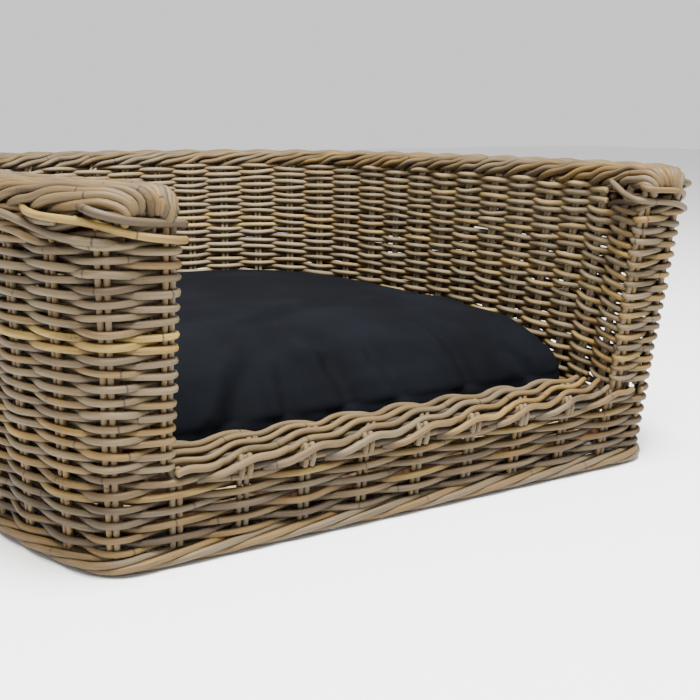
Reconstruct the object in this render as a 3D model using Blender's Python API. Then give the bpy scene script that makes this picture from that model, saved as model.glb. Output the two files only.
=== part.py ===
# Woven pet bed with a hollow double wall, a low front sill and a lift-out cushion.
# Metres, +Z up. X runs along the sill, -Y is the open front, and the bed stands on z = 0
# with the origin under the middle of its box.
import math

import bpy
import bmesh
import numpy as np
from mathutils import Vector

# --- driving dimensions ---
TOTAL_HEIGHT = 0.350        # floor to the top of the tall rim
HALF_WIDTH = 0.393          # plan of the outer skin at the floor: half size across ...
HALF_DEPTH = 0.524          # ... and half size front to back, before the front is cut off
OUTER_POWER = 2.6           # how square the outer plan is (2 would be an ellipse)
INNER_POWER = 3.0           # how square the inner plan is
PLAN_CENTRE_Y = -0.0741     # centre of both plans
FRONT_Y = -0.4301           # line of the flat front at the floor
CORNER_WINDOW = 0.065       # length over which a plan corner is rounded, about 23 mm radius
ARM_WINDOW = 0.105          # the same for the rounder ends of the tall wall
WALL_AT_FLOOR = 0.074       # outer face to inner face of the hollow wall
WALL_AT_RIM = 0.086
SKIN = 0.018                # one woven skin: a stake with a weaver on both sides
LEAN_FRONT = 0.140          # outward lean of the walls, as a run per metre of height
LEAN_BACK = 0.080
LEAN_SIDE = 0.045

FOOT_HEIGHT = 0.018         # twisted border that the bed stands on
FOOT_PROUD = 0.005          # how far a border stands out from the skin
FOOT_WIDTH = 0.023
RIM_BASE = 0.328            # underside of the tall rim border
RIM_PROUD = 0.004

SILL_TOP = 0.105            # crown of the sill border
SILL_FRONT_TOP = 0.096      # its lower front edge
SILL_BASE = 0.088           # underside of the sill border
SILL_DEPTH = 0.078
SILL_END_GAP = 0.002        # between the sill border and an arm end
ZONE_Y = 0.125              # how far behind the front line the arm ends begin

POLE_RADIUS = 0.009         # rattan poles of the hidden frame
POST_RADIUS = 0.008
RING_HEIGHT = 0.031         # centre of the pole ring round the base
RAIL_HEIGHT = 0.306         # centre of the rail inside the tall rim
SILL_RAIL_HEIGHT = 0.070
BAR_BOTTOM = 0.006
BAR_TOP = 0.0207
BAR_WIDTH = 0.030
BAR_COUNT = 5
BAR_END_MARGIN = 0.10       # from the ends of the floor to the first and last bar
DECK_BOTTOM = 0.0213
DECK_TOP = 0.033
POST_FRACTIONS = (0.0, 0.10, 0.20, 0.30, 0.40, 0.50, 0.60, 0.70, 0.80, 0.90, 1.0)

CUSHION_EDGE_TOP = 0.120    # height of the cushion's shoulder
CUSHION_CROWN = 0.178       # height of its crown
CUSHION_CLEARANCE = 0.004   # to the inner skin
CUSHION_FRONT_GAP = 0.012   # further clearance behind the sill
CUSHION_CORNER = 0.12       # length over which its plan corners are rounded

GAP = 0.0003                # between neighbouring pieces
FINE = 1200                 # samples of a plan curve before it is thinned


# --- materials: colour, roughness, metallic ---
MATERIALS = {
    "weaver": ((0.30, 0.22, 0.14), 0.55, 0.0),
    "border": ((0.34, 0.25, 0.16), 0.55, 0.0),
    "pole": ((0.24, 0.12, 0.06), 0.60, 0.0),
    "slat": ((0.36, 0.26, 0.16), 0.65, 0.0),
    "cushion": ((0.012, 0.014, 0.020), 0.90, 0.0),
}


def clear_scene():
    for old in list(bpy.data.objects):
        bpy.data.objects.remove(old, do_unlink=True)


def material(name, kind):
    colour, roughness, metallic = MATERIALS[kind]
    made = bpy.data.materials.new(name + "_material")
    made.use_nodes = True
    shader = made.node_tree.nodes["Principled BSDF"]
    shader.inputs["Base Color"].default_value = (*colour, 1.0)
    shader.inputs["Roughness"].default_value = roughness
    shader.inputs["Metallic"].default_value = metallic
    return made


def add_object(name, bm, kind, smooth=True):
    """Turns a bmesh into a named object with outward faces, its origin at its own middle."""
    bmesh.ops.recalc_face_normals(bm, faces=bm.faces)
    mesh = bpy.data.meshes.new(name)
    bm.to_mesh(mesh)
    bm.free()
    low = np.min([v.co[:] for v in mesh.vertices], axis=0)
    high = np.max([v.co[:] for v in mesh.vertices], axis=0)
    centre = Vector((low + high) / 2)
    for vertex in mesh.vertices:
        vertex.co -= centre
    if smooth:
        mesh.shade_smooth()
        mesh.set_sharp_from_angle(angle=math.radians(40))
    made = bpy.data.objects.new(name, mesh)
    made.location = centre
    made.data.materials.append(material(name, kind))
    bpy.context.scene.collection.objects.link(made)
    return made


# --- plan curves ---
def resample(points, count, closed=False):
    """Points spread evenly along a polyline."""
    line = np.vstack([points, points[:1]]) if closed else points
    steps = np.linalg.norm(np.diff(line, axis=0), axis=1)
    along = np.concatenate([[0.0], np.cumsum(steps)])
    where = np.linspace(0.0, along[-1], count, endpoint=not closed)
    return np.stack([np.interp(where, along, line[:, axis]) for axis in (0, 1)], axis=1)


def rounded(points, window=CORNER_WINDOW):
    """A closed plan curve with its corners rounded by a moving average."""
    even = resample(points, FINE, closed=True)
    length = np.linalg.norm(np.roll(even, -1, axis=0) - even, axis=1).sum()
    half = max(1, int(round(window / length * FINE / 2)))
    kernel = np.ones(2 * half + 1) / (2 * half + 1)
    padded = np.vstack([even[-half:], even, even[:half]])
    return np.stack([np.convolve(padded[:, axis], kernel, "valid") for axis in (0, 1)], axis=1)


def plan_arc(inset, power, front_y):
    """The plan from its left front end round the back to its right front end."""
    half_x = HALF_WIDTH - inset
    half_y = HALF_DEPTH - inset
    reach = (PLAN_CENTRE_Y - front_y) / half_y
    start = math.atan2(reach, (1 - reach ** power) ** (1 / power))
    angle = np.linspace(math.pi + start, -start, FINE)
    cos, sin = np.cos(angle), np.sin(angle)
    radius = (np.abs(cos) ** power + np.abs(sin) ** power) ** (-1 / power)
    return np.stack([half_x * radius * cos, PLAN_CENTRE_Y + half_y * radius * sin], axis=1)


def wall_thickness(z):
    return WALL_AT_FLOOR + (WALL_AT_RIM - WALL_AT_FLOOR) * z / TOTAL_HEIGHT


def lean(points, z):
    """Moves plan points at the floor to where the leaning wall has them at height z."""
    back_y = PLAN_CENTRE_Y + HALF_DEPTH
    towards_back = (points[:, 1] - FRONT_Y) / (back_y - FRONT_Y)
    run_y = -LEAN_FRONT + (LEAN_FRONT + LEAN_BACK) * towards_back
    run_x = LEAN_SIDE * points[:, 0] / HALF_WIDTH
    return np.stack([points[:, 0] + run_x * z, points[:, 1] + run_y * z, np.full(len(points), z)], axis=1)


def outer_arc():
    return plan_arc(0.0, OUTER_POWER, FRONT_Y)


def inner_arc(z, front_y=FRONT_Y):
    return plan_arc(wall_thickness(z), INNER_POWER, front_y)


def arm_loop(z):
    """Closed plan of the tall wall: outer face, right arm end, inner face, left arm end."""
    return rounded(np.vstack([outer_arc(), inner_arc(z)[::-1]]), ARM_WINDOW)


def base_loop(z, inner):
    """Closed plan of a skin that also runs along the sill."""
    if inner:
        return rounded(inner_arc(z, FRONT_Y + WALL_AT_FLOOR))
    return rounded(outer_arc())


def inward(points, distance, into_left):
    """Offsets a closed plan curve to its left or right side."""
    tangent = np.roll(points, -1, axis=0) - np.roll(points, 1, axis=0)
    tangent /= np.linalg.norm(tangent, axis=1)[:, None]
    left = np.stack([-tangent[:, 1], tangent[:, 0]], axis=1)
    return points + left * distance * (1 if into_left else -1)


def stretch(points, keep):
    """The one run of a closed curve whose points pass the test, in order."""
    inside = keep(points)
    starts = np.flatnonzero(inside & ~np.roll(inside, 1))
    ordered = np.roll(points, -starts[0], axis=0)
    return ordered[:int(np.roll(inside, -starts[0]).argmin())]


# --- solids ---
def band(name, rows, kind):
    """A closed strip between two heights. Each row is (outer side points, hollow side points)."""
    bm = bmesh.new()
    low, high = ([[bm.verts.new(p) for p in side] for side in row] for row in rows)
    corners = [low[0], high[0], high[1], low[1]]
    for side, after in zip(corners, corners[1:] + corners[:1]):
        for k in range(len(side) - 1):
            bm.faces.new((side[k], side[k + 1], after[k + 1], after[k]))
    for k in (0, -1):
        bm.faces.new([side[k] for side in corners])
    return add_object(name, bm, kind)


def skin_zone(name, loop_at, keep, z_low, z_high, count, into_left=False):
    """One zone of a woven skin, cut from the plan loop at its foot and at its head."""
    rows = []
    for z in (z_low, z_high):
        loop = loop_at(z)
        hollow = inward(loop, SKIN, into_left)
        both = np.hstack([loop, hollow])
        run = stretch(both, keep)
        thin = run[np.linspace(0, len(run) - 1, count).round().astype(int)]
        rows.append((lean(thin[:, :2], z), lean(thin[:, 2:], z)))
    return band(name, rows, "weaver")


def closed_ring(name, section, kind):
    """A ring with one loop of points for each corner of its section, in order round the section."""
    bm = bmesh.new()
    loops = [[bm.verts.new(p) for p in loop] for loop in section]
    count = len(loops[0])
    for j, loop in enumerate(loops):
        after = loops[(j + 1) % len(loops)]
        for k in range(count):
            n = (k + 1) % count
            bm.faces.new((loop[k], loop[n], after[n], after[k]))
    return add_object(name, bm, kind)


def pole(name, path, radius, closed=False, sides=8, kind="pole"):
    """A round pole along a path of points."""
    curve = bpy.data.curves.new(name, "CURVE")
    curve.dimensions = "3D"
    curve.bevel_depth = radius
    curve.bevel_resolution = sides // 2 - 2
    curve.use_fill_caps = not closed
    spline = curve.splines.new("POLY")
    spline.points.add(len(path) - 1)
    for point, place in zip(spline.points, path):
        point.co = (*place, 1.0)
    spline.use_cyclic_u = closed
    curve.materials.append(material(name, kind))
    made = bpy.data.objects.new(name, curve)
    bpy.context.scene.collection.objects.link(made)
    return made


# --- the pieces ---
def make_foot_border():
    loop = rounded(outer_arc())[::FINE // 100]
    edge = FOOT_PROUD * 0.4
    places = ((FOOT_PROUD - edge, 0.0), (FOOT_PROUD, FOOT_HEIGHT * 0.5), (FOOT_PROUD - edge, FOOT_HEIGHT),
              (FOOT_PROUD - FOOT_WIDTH, FOOT_HEIGHT), (FOOT_PROUD - FOOT_WIDTH, 0.0))
    section = [lean(inward(loop, proud, True), z) for proud, z in places]
    return closed_ring("foot_border", section, "border")


def make_outer_skins():
    """Left side, back and right side of the outer skin, and the front band under the sill."""
    low, high = FOOT_HEIGHT + GAP, RIM_BASE - GAP
    split_y = PLAN_CENTRE_Y + HALF_DEPTH * 0.52
    front = FRONT_Y + ZONE_Y
    half_gap = GAP / 2

    def outer(z):
        return base_loop(z, inner=False)

    skin_zone("outer_weave_left", outer,
              lambda p: (p[:, 0] < 0) & (p[:, 1] > front + half_gap) & (p[:, 1] < split_y - half_gap),
              low, high, 26)
    skin_zone("outer_weave_right", outer,
              lambda p: (p[:, 0] > 0) & (p[:, 1] > front + half_gap) & (p[:, 1] < split_y - half_gap),
              low, high, 26)
    skin_zone("outer_weave_back", outer, lambda p: p[:, 1] > split_y + half_gap, low, high, 34)
    skin_zone("sill_outer_weave", outer, lambda p: p[:, 1] < front - half_gap, low, SILL_BASE - GAP, 50)


def make_inner_skins():
    """Left side, back and right side of the inner skin, and the face behind the sill."""
    low, high = DECK_TOP + GAP, RIM_BASE - GAP
    split_y = PLAN_CENTRE_Y + HALF_DEPTH * 0.45
    front = FRONT_Y + ZONE_Y
    half_gap = GAP / 2

    def inner(z):
        return base_loop(z, inner=True)

    skin_zone("inner_weave_left", inner,
              lambda p: (p[:, 0] < 0) & (p[:, 1] > front + half_gap) & (p[:, 1] < split_y - half_gap),
              low, high, 24, into_left=True)
    skin_zone("inner_weave_right", inner,
              lambda p: (p[:, 0] > 0) & (p[:, 1] > front + half_gap) & (p[:, 1] < split_y - half_gap),
              low, high, 24, into_left=True)
    skin_zone("inner_weave_back", inner, lambda p: p[:, 1] > split_y + half_gap, low, high, 32, into_left=True)
    skin_zone("sill_inner_weave", inner, lambda p: p[:, 1] < front - half_gap, low, SILL_BASE - GAP, 44,
              into_left=True)


def beyond_middle(points):
    """How far plan points lie outside the middle of the wall, as a fraction of the plan's size."""
    inset = (WALL_AT_FLOOR + WALL_AT_RIM) / 4
    power = (OUTER_POWER + INNER_POWER) / 2
    x = np.abs(points[:, 0]) / (HALF_WIDTH - inset)
    y = np.abs(points[:, 1] - PLAN_CENTRE_Y) / (HALF_DEPTH - inset)
    return (x ** power + y ** power) ** (1 / power) - 1


def make_arm_ends():
    """The rounded ends of the tall wall beside the entrance, each in an outer and an inner half."""
    front = FRONT_Y + ZONE_Y - GAP / 2
    half_gap = 0.001
    for hand, side in (("left", -1), ("right", 1)):
        for half, sign in (("outer", 1), ("inner", -1)):
            skin_zone(f"arm_end_{hand}_{half}", arm_loop,
                      lambda p: (p[:, 0] * side > 0) & (p[:, 1] < front) & (beyond_middle(p) * sign > half_gap),
                      SILL_BASE, RIM_BASE - GAP, 15)


def wall_pairs(z, front_inset, count):
    """Matching points on the outer and inner face of the tall wall, arm end to arm end."""
    outer = resample(plan_arc(0.0, OUTER_POWER, FRONT_Y + front_inset), count)
    inner = resample(inner_arc(z, FRONT_Y + front_inset), count)
    return lean(outer, z), lean(inner, z)


def make_rim_border():
    """A rounded border over the top of the tall wall, from one arm end to the other."""
    count = 84
    even = np.linspace(0.0, 1.0, count)
    closer_at_ends = even - 0.75 * np.sin(2 * math.pi * even) / (2 * math.pi)
    pick = (closer_at_ends * (FINE - 1)).round().astype(int)
    outer, inner = (side[pick] for side in wall_pairs(RIM_BASE, 0.0, FINE))
    middle = (outer + inner) / 2
    across = (outer - inner) / 2
    steps = np.linalg.norm(np.diff(middle, axis=0), axis=1)
    along = np.concatenate([[0.0], np.cumsum(steps)])
    to_end = np.minimum(along, along[-1] - along)
    round_off = 0.042
    width = np.linalg.norm(across, axis=1)
    wide = (width + RIM_PROUD) / width
    near = np.clip(1 - to_end / round_off, 0.0, 0.95)
    wide *= np.sqrt(1 - near ** 2)
    push = np.zeros_like(middle)
    push[:, 1] = -RIM_PROUD * np.clip(1 - to_end / round_off, 0.0, 1.0)
    height = TOTAL_HEIGHT - RIM_BASE
    profile = ((-0.97, 0.0), (-1.0, 0.45), (-0.88, 0.80), (-0.55, 0.96), (0.0, 1.0),
               (0.55, 0.96), (0.88, 0.80), (1.0, 0.45), (0.97, 0.0))
    bm = bmesh.new()
    stations = []
    for k in range(count):
        places = [middle[k] + push[k] + across[k] * wide[k] * u + np.array([0, 0, height * h]) for u, h in profile]
        stations.append([bm.verts.new(p) for p in places])
    for here, after in zip(stations, stations[1:]):
        for j in range(len(profile)):
            n = (j + 1) % len(profile)
            bm.faces.new((here[j], here[n], after[n], after[j]))
    bm.faces.new(stations[0])
    bm.faces.new(stations[-1][::-1])
    return add_object("rim_border", bm, "border")


def sill_half_length():
    """Half the clear width between the arm ends, at the sill."""
    loop = arm_loop(SILL_BASE)
    return abs(loop[loop[:, 1] < FRONT_Y + SILL_DEPTH, 0]).min()


def make_sill_border():
    """The border over the sill: a low crown that slopes down to the front."""
    half = sill_half_length() - SILL_END_GAP
    front = FRONT_Y - 0.004
    profile = ((0.0, SILL_BASE), (-0.001, SILL_FRONT_TOP - 0.003), (0.010, SILL_FRONT_TOP + 0.002),
               (0.040, SILL_TOP - 0.001), (0.060, SILL_TOP), (0.074, SILL_TOP - 0.004), (SILL_DEPTH + 0.003, SILL_BASE))
    bm = bmesh.new()
    stations = []
    for x in np.linspace(-half, half, 13):
        places = np.array([(x, front + y) for y, _ in profile])
        leaned = lean(places, SILL_BASE)
        leaned[:, 0] = x
        leaned[:, 2] = [z for _, z in profile]
        stations.append([bm.verts.new(p) for p in leaned])
    for here, after in zip(stations, stations[1:]):
        for j in range(len(profile)):
            n = (j + 1) % len(profile)
            bm.faces.new((here[j], here[n], after[n], after[j]))
    bm.faces.new(stations[0])
    bm.faces.new(stations[-1][::-1])
    return add_object("sill_border", bm, "border")


def middle_points(z, front_inset, count):
    outer, inner = wall_pairs(z, front_inset, count)
    return (outer + inner) / 2


def make_frame():
    """Hidden pole frame inside the hollow wall: base ring, posts, top rail and sill rail."""
    ring = rounded(plan_arc(WALL_AT_FLOOR / 2, OUTER_POWER, FRONT_Y + WALL_AT_FLOOR / 2))[::FINE // 80]
    pole("base_ring", lean(ring, RING_HEIGHT), POLE_RADIUS, closed=True)
    rail = middle_points(RAIL_HEIGHT, WALL_AT_FLOOR / 2 - POST_RADIUS, 60)
    pole("top_rail", rail, POLE_RADIUS)

    tilt = POST_RADIUS * (LEAN_FRONT + LEAN_SIDE)      # how far a leaning post's square end dips
    foot_z = RING_HEIGHT + POLE_RADIUS + GAP + tilt
    head_z = RAIL_HEIGHT - POLE_RADIUS - GAP - tilt
    feet = middle_points(foot_z, WALL_AT_FLOOR / 2, FINE)
    heads = middle_points(head_z, WALL_AT_FLOOR / 2, FINE)
    names = ("left_arm_post", "left_front_post", "left_side_post", "left_rear_post", "back_left_post",
             "back_post", "back_right_post", "right_rear_post", "right_side_post", "right_front_post",
             "right_arm_post")
    for name, fraction in zip(names, POST_FRACTIONS):
        k = int(fraction * (FINE - 1))
        pole(name, [feet[k], heads[k]], POST_RADIUS)

    share = (SILL_RAIL_HEIGHT - foot_z) / (head_z - foot_z)
    left = int(POST_FRACTIONS[0] * (FINE - 1))
    at_rail = feet[left] + (heads[left] - feet[left]) * share
    half = abs(at_rail[0]) - POST_RADIUS - 0.002
    pole("sill_rail", [(-half, at_rail[1], SILL_RAIL_HEIGHT), (half, at_rail[1], SILL_RAIL_HEIGHT)], POST_RADIUS)


def make_base():
    """Cross bars under a flat woven deck, inside the base ring."""
    inset = WALL_AT_FLOOR / 2 + POLE_RADIUS + 0.002
    deck = rounded(plan_arc(inset, OUTER_POWER, FRONT_Y + inset))[::FINE // 80]
    bm = bmesh.new()
    low = [bm.verts.new(p) for p in lean(deck, DECK_BOTTOM)]
    high = [bm.verts.new((*v.co.xy, DECK_TOP)) for v in low]
    bm.faces.new(low[::-1])
    bm.faces.new(high)
    for k in range(len(low)):
        n = (k + 1) % len(low)
        bm.faces.new((low[k], low[n], high[n], high[k]))
    add_object("base_deck", bm, "slat")

    bar_inset = FOOT_WIDTH - FOOT_PROUD + 0.004
    edge = rounded(plan_arc(bar_inset, OUTER_POWER, FRONT_Y + bar_inset))
    first = edge[:, 1].min() + BAR_END_MARGIN
    last = edge[:, 1].max() - BAR_END_MARGIN
    for index, y in enumerate(np.linspace(first, last, BAR_COUNT)):
        near = np.abs(edge[:, 1] - y) < BAR_WIDTH / 2 + 0.002
        half = np.abs(edge[near, 0]).min()
        bm = bmesh.new()
        bmesh.ops.create_cube(bm, size=1.0)
        size = (half * 2, BAR_WIDTH, BAR_TOP - BAR_BOTTOM)
        bmesh.ops.scale(bm, vec=size, verts=bm.verts)
        bmesh.ops.translate(bm, vec=(0, y, (BAR_TOP + BAR_BOTTOM) / 2), verts=bm.verts)
        add_object(f"base_bar_{index + 1}", bm, "slat", smooth=False)


def make_cushion():
    """A domed cushion that fills the floor of the bed and lifts straight out."""
    bottom = DECK_TOP + GAP
    inset = WALL_AT_FLOOR + CUSHION_CLEARANCE
    front = FRONT_Y + inset + CUSHION_FRONT_GAP
    outline = rounded(plan_arc(inset, INNER_POWER, front), CUSHION_CORNER)[::FINE // 60]
    outline = lean(outline, bottom)[:, :2]
    centre = outline.mean(axis=0)
    edge = CUSHION_EDGE_TOP
    crown = CUSHION_CROWN
    rings = ((0.955, bottom), (1.0, bottom + (edge - bottom) * 0.30), (1.0, bottom + (edge - bottom) * 0.70),
             (0.96, edge), (0.84, edge + (crown - edge) * 0.45), (0.62, edge + (crown - edge) * 0.80),
             (0.32, edge + (crown - edge) * 0.97))
    bm = bmesh.new()
    loops = []
    for scale, z in rings:
        loops.append([bm.verts.new((*(centre + (p - centre) * scale), z)) for p in outline])
    bm.faces.new(loops[0])
    for here, after in zip(loops, loops[1:]):
        for k in range(len(here)):
            n = (k + 1) % len(here)
            bm.faces.new((here[k], here[n], after[n], after[k]))
    top = bm.verts.new((*centre, crown))
    for k in range(len(loops[-1])):
        n = (k + 1) % len(loops[-1])
        bm.faces.new((loops[-1][k], loops[-1][n], top))
    return add_object("cushion", bm, "cushion")


clear_scene()
make_foot_border()
make_outer_skins()
make_inner_skins()
make_arm_ends()
make_rim_border()
make_sill_border()
make_frame()
make_base()
make_cushion()
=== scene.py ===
import math

import bpy
import numpy as np
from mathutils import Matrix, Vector


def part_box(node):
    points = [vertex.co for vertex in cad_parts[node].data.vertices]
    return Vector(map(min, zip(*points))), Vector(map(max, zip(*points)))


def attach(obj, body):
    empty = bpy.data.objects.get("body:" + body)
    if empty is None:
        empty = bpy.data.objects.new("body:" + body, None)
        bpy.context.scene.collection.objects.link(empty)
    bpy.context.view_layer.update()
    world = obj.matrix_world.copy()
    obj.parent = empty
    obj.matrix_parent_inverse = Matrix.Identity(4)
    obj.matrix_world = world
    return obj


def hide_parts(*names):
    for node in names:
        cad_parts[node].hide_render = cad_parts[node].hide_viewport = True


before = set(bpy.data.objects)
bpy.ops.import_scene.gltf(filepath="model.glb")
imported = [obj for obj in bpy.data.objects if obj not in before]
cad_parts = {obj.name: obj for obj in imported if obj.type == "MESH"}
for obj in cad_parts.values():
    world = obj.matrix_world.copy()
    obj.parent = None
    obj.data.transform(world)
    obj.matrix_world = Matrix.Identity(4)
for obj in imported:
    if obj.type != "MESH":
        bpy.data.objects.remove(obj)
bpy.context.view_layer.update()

# ---------- plan of the double wall, in metres ----------
wall = {
    "halfWidth": 0.393,         # outer face at the floor
    "halfDepth": 0.524,
    "outerPower": 2.6,          # how square the plan is
    "innerPower": 3.0,
    "centreY": -0.0741,
    "frontY": -0.4301,          # line of the flat front
    "cornerWindow": 0.065,      # length over which a corner is rounded
    "armWindow": 0.068,         # the same for the rounder ends of the tall wall
    "thickAtFloor": 0.074,
    "thickAtRim": 0.086,
    "height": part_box("rim_border")[1].z,
    "leanFront": 0.140,         # outward run per metre of height
    "leanBack": 0.080,
    "leanSide": 0.045,
    "skin": 0.018,              # depth of one woven skin
    "footTop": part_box("foot_border")[1].z,
    "rimBase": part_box("rim_border")[0].z,
    "sillBase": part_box("sill_border")[0].z,
    "sillTop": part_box("sill_border")[1].z,
    "deckTop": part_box("base_deck")[1].z,
}
fine = 1200                     # samples of a plan curve
straight = 60                   # samples of a straight stretch

# stakes stand in pairs; these are the pairs along each stretch of the plan
stakePairs = {
    "outerArc": 36,
    "sill": 10,
    "innerArc": 36,
    "armPairX": 0.266,          # the pair on each arm's end face
    "jambRun": 0.052,           # from the jamb's corner to the first inner pair
    "half": 0.0034,             # from the middle of a pair to one stake
    "radius": 0.0030,
    "innerLowTotal": 44,
    "bend": 0.022,              # length at the top that leans over under the rim
    "lean": 0.010,
    "tuck": 0.004,
    "intoRim": 0.010,
    "intoFoot": 0.006,
    "forward": 0.001,           # how far a pair stands in front of the skin's middle
    "steps": 15,
}

weave = {
    "pitch": 0.0061,            # height of one row of the tall wall
    "lowPitch": 0.0070,         # and of the wider rows under the sill's height
    "lowRows": 10,
    "radius": 0.0035,
    "swing": 0.0060,            # how far a weaver goes in and out round a stake
    "sweep": 0.0110,            # how much higher a row runs inside than outside, at mid-height
    "firstRow": 0.0215,
    "stepsPerPair": 8,
    "sides": 8,
    "strandPairs": (9, 34),     # shortest and longest weaver, counted in stake pairs
    "lap": 0.30,                # how far a weaver's end runs past its last stake, in pairs
    "endTuck": 0.0022,
    "endTuckOver": 0.7,
    "drift": 0.0009,            # slow rise and fall of a whole row
    "unevenSwing": 0.10,
    "unevenHeight": 0.0011,
    # painted light: how much paler the weavers on the bed side are made, as if more brightly lit
    "paintedLightInside": 0.30,
    "yellowRows": (30, 31),     # fresh, yellow weavers on the bed side
    "fairRows": (14, 17),
    "fewestPoints": 5,          # a shorter remnant of a weaver is left out
}

cane = {
    "thickness": (0.90, 1.08),  # thinnest and thickest rod of a bundle
    "swelling": 0.09,           # at a joint of the cane
    "swellingLength": 0.004,
    "jointGap": (0.16, 0.36),
    "tip": 0.0012,              # length of the rounded end of a rod
}


def cumulative(points):
    steps = np.linalg.norm(np.diff(points, axis=0), axis=1)
    return np.concatenate([[0.0], np.cumsum(steps)])


def planArc(inset, power, frontY):
    halfX = wall["halfWidth"] - inset
    halfY = wall["halfDepth"] - inset
    reach = (wall["centreY"] - frontY) / halfY
    start = math.atan2(reach, (1 - reach ** power) ** (1 / power))
    angle = np.linspace(math.pi + start, -start, fine)
    cos, sin = np.cos(angle), np.sin(angle)
    radius = (np.abs(cos) ** power + np.abs(sin) ** power) ** (-1 / power)
    return np.stack([halfX * radius * cos, wall["centreY"] + halfY * radius * sin], axis=1)


def thicknessAt(z):
    return wall["thickAtFloor"] + (wall["thickAtRim"] - wall["thickAtFloor"]) * z / wall["height"]


def leaned(xy, z):
    # moves plan points to where the leaning wall has them at height z
    backY = wall["centreY"] + wall["halfDepth"]
    towardsBack = (xy[:, 1] - wall["frontY"]) / (backY - wall["frontY"])
    runY = -wall["leanFront"] + (wall["leanFront"] + wall["leanBack"]) * towardsBack
    runX = wall["leanSide"] * xy[:, 0] / wall["halfWidth"]
    z = np.broadcast_to(np.asarray(z, float), (len(xy),))
    return np.stack([xy[:, 0] + runX * z, xy[:, 1] + runY * z, z], axis=1)


def outerArc():
    return planArc(0.0, wall["outerPower"], wall["frontY"])


def innerArc(z):
    return planArc(thicknessAt(z), wall["innerPower"], wall["frontY"])


def counted(points, first, last):
    # a stretch of plan with the stake count along it
    along = cumulative(points)
    return np.column_stack([points, first + (last - first) * along / along[-1]])


def closedCourse(stretches, total, window):
    # joins stretches of (x, y, stake count) into one closed, round-cornered course
    raw = np.vstack(stretches)
    raw = np.vstack([raw, [raw[0, 0], raw[0, 1], raw[0, 2] + total]])
    along = cumulative(raw[:, :2])
    where = np.linspace(0.0, along[-1], fine, endpoint=False)
    even = np.column_stack([np.interp(where, along, raw[:, c]) for c in range(3)])
    half = int(round(window / along[-1] * fine / 2))
    before, after = even[-half:].copy(), even[:half].copy()
    before[:, 2] -= total
    after[:, 2] += total
    padded = np.vstack([before, even, after])
    kernel = np.ones(2 * half + 1) / (2 * half + 1)
    smooth = np.column_stack([np.convolve(padded[:, c], kernel, "valid") for c in range(3)])
    tangent = np.roll(smooth[:, :2], -1, axis=0) - np.roll(smooth[:, :2], 1, axis=0)
    tangent /= np.linalg.norm(tangent, axis=1)[:, None]
    normal = np.stack([-tangent[:, 1], tangent[:, 0]], axis=1)   # away from the hollow
    return {"xy": smooth[:, :2], "count": smooth[:, 2], "normal": normal, "total": total}


def splitAt(points, distance):
    along = cumulative(points)
    cut = np.array([np.interp(distance, along, points[:, c]) for c in range(2)])
    head = points[along < distance]
    tail = points[along >= distance]
    return np.vstack([head, cut]), np.vstack([cut, tail])


def armCourse(z):
    # right round the tall wall: outer face, right arm end, inner face, left arm end
    outer, inner = outerArc(), innerArc(z)[::-1]
    n, m, x = stakePairs["outerArc"], stakePairs["innerArc"], stakePairs["armPairX"]
    front = wall["frontY"]
    head, rest = splitAt(inner, stakePairs["jambRun"])
    middle, tail = splitAt(rest, cumulative(rest)[-1] - stakePairs["jambRun"])
    return closedCourse([
        counted(outer, 0, n),
        counted(np.array([outer[-1], (x, front)]), n, n + 1)[1:],
        counted(np.vstack([[(x, front)], head]), n + 1, n + 2)[1:],
        counted(middle, n + 2, n + 2 + m)[1:],
        counted(np.vstack([tail, [(-x, front)]]), n + 2 + m, n + 3 + m)[1:],
        counted(np.array([(-x, front), outer[0]]), n + 3 + m, n + 4 + m)[1:-1],
    ], n + m + 4, wall["armWindow"])


def lowOuterCourse(z):
    # under the sill's height the outer skin also runs along the front
    outer = outerArc()
    n, total = stakePairs["outerArc"], stakePairs["outerArc"] + stakePairs["sill"]
    front = wall["frontY"]
    sill = np.linspace((outer[-1, 0], front), (outer[0, 0], front), straight)
    return closedCourse([counted(outer, 0, n), counted(sill, n, total)[1:-1]], total, wall["cornerWindow"])


def lowInnerCourse(z):
    # the inner skin with its stretch behind the sill, seen from the bed
    inner = innerArc(z)[::-1]
    n, m = stakePairs["outerArc"], stakePairs["innerArc"]
    along = cumulative(inner)
    run = stakePairs["jambRun"]
    count = n + 2 + m * (along - run) / (along[-1] - 2 * run)
    behindSill = inner[:, 1] > wall["frontY"] + thicknessAt(z)
    arc = np.column_stack([inner, count])[behindSill]
    total = stakePairs["innerLowTotal"]
    chord = counted(np.linspace(arc[-1, :2], arc[0, :2], straight), arc[-1, 2], arc[0, 2] + total)
    return closedCourse([arc, chord[1:-1]], total, wall["cornerWindow"])


def onCourse(course, count, depth, z):
    # points at stake counts, a depth under the visible face, at height z
    total = course["total"]
    first = course["count"][0]
    k = first + np.mod(np.asarray(count, float) - first, total)
    ring = np.append(course["count"], first + total)
    wrap = [np.append(c, c[0]) for c in (*course["xy"].T, *course["normal"].T)]
    x, y, nx, ny = (np.interp(k, ring, c) for c in wrap)
    normal = np.stack([nx, ny], axis=1)
    normal /= np.linalg.norm(normal, axis=1)[:, None]
    return leaned(np.stack([x, y], axis=1) - normal * np.reshape(depth, (-1, 1)), z), normal


# ---------- strands of rattan ----------
random = np.random.default_rng(7)


def newStrand(points, radius, tone, up=None, deep=0.0):
    # up is the direction that the section is turned by, None carries it along
    # deep is painted shade, from 0 to 1, darker the further inside the weave a point lies; below 0 it is
    # painted light and the skin is paler
    points = np.asarray(points, float)
    return {"points": points, "radius": np.broadcast_to(radius, (len(points),)).astype(float),
            "tone": float(tone), "up": up, "seed": float(random.random() * 40),
            "deep": np.broadcast_to(deep, (len(points),)).astype(float)}


def unit(v):
    return v / np.maximum(np.linalg.norm(v, axis=-1, keepdims=True), 1e-12)


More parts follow.
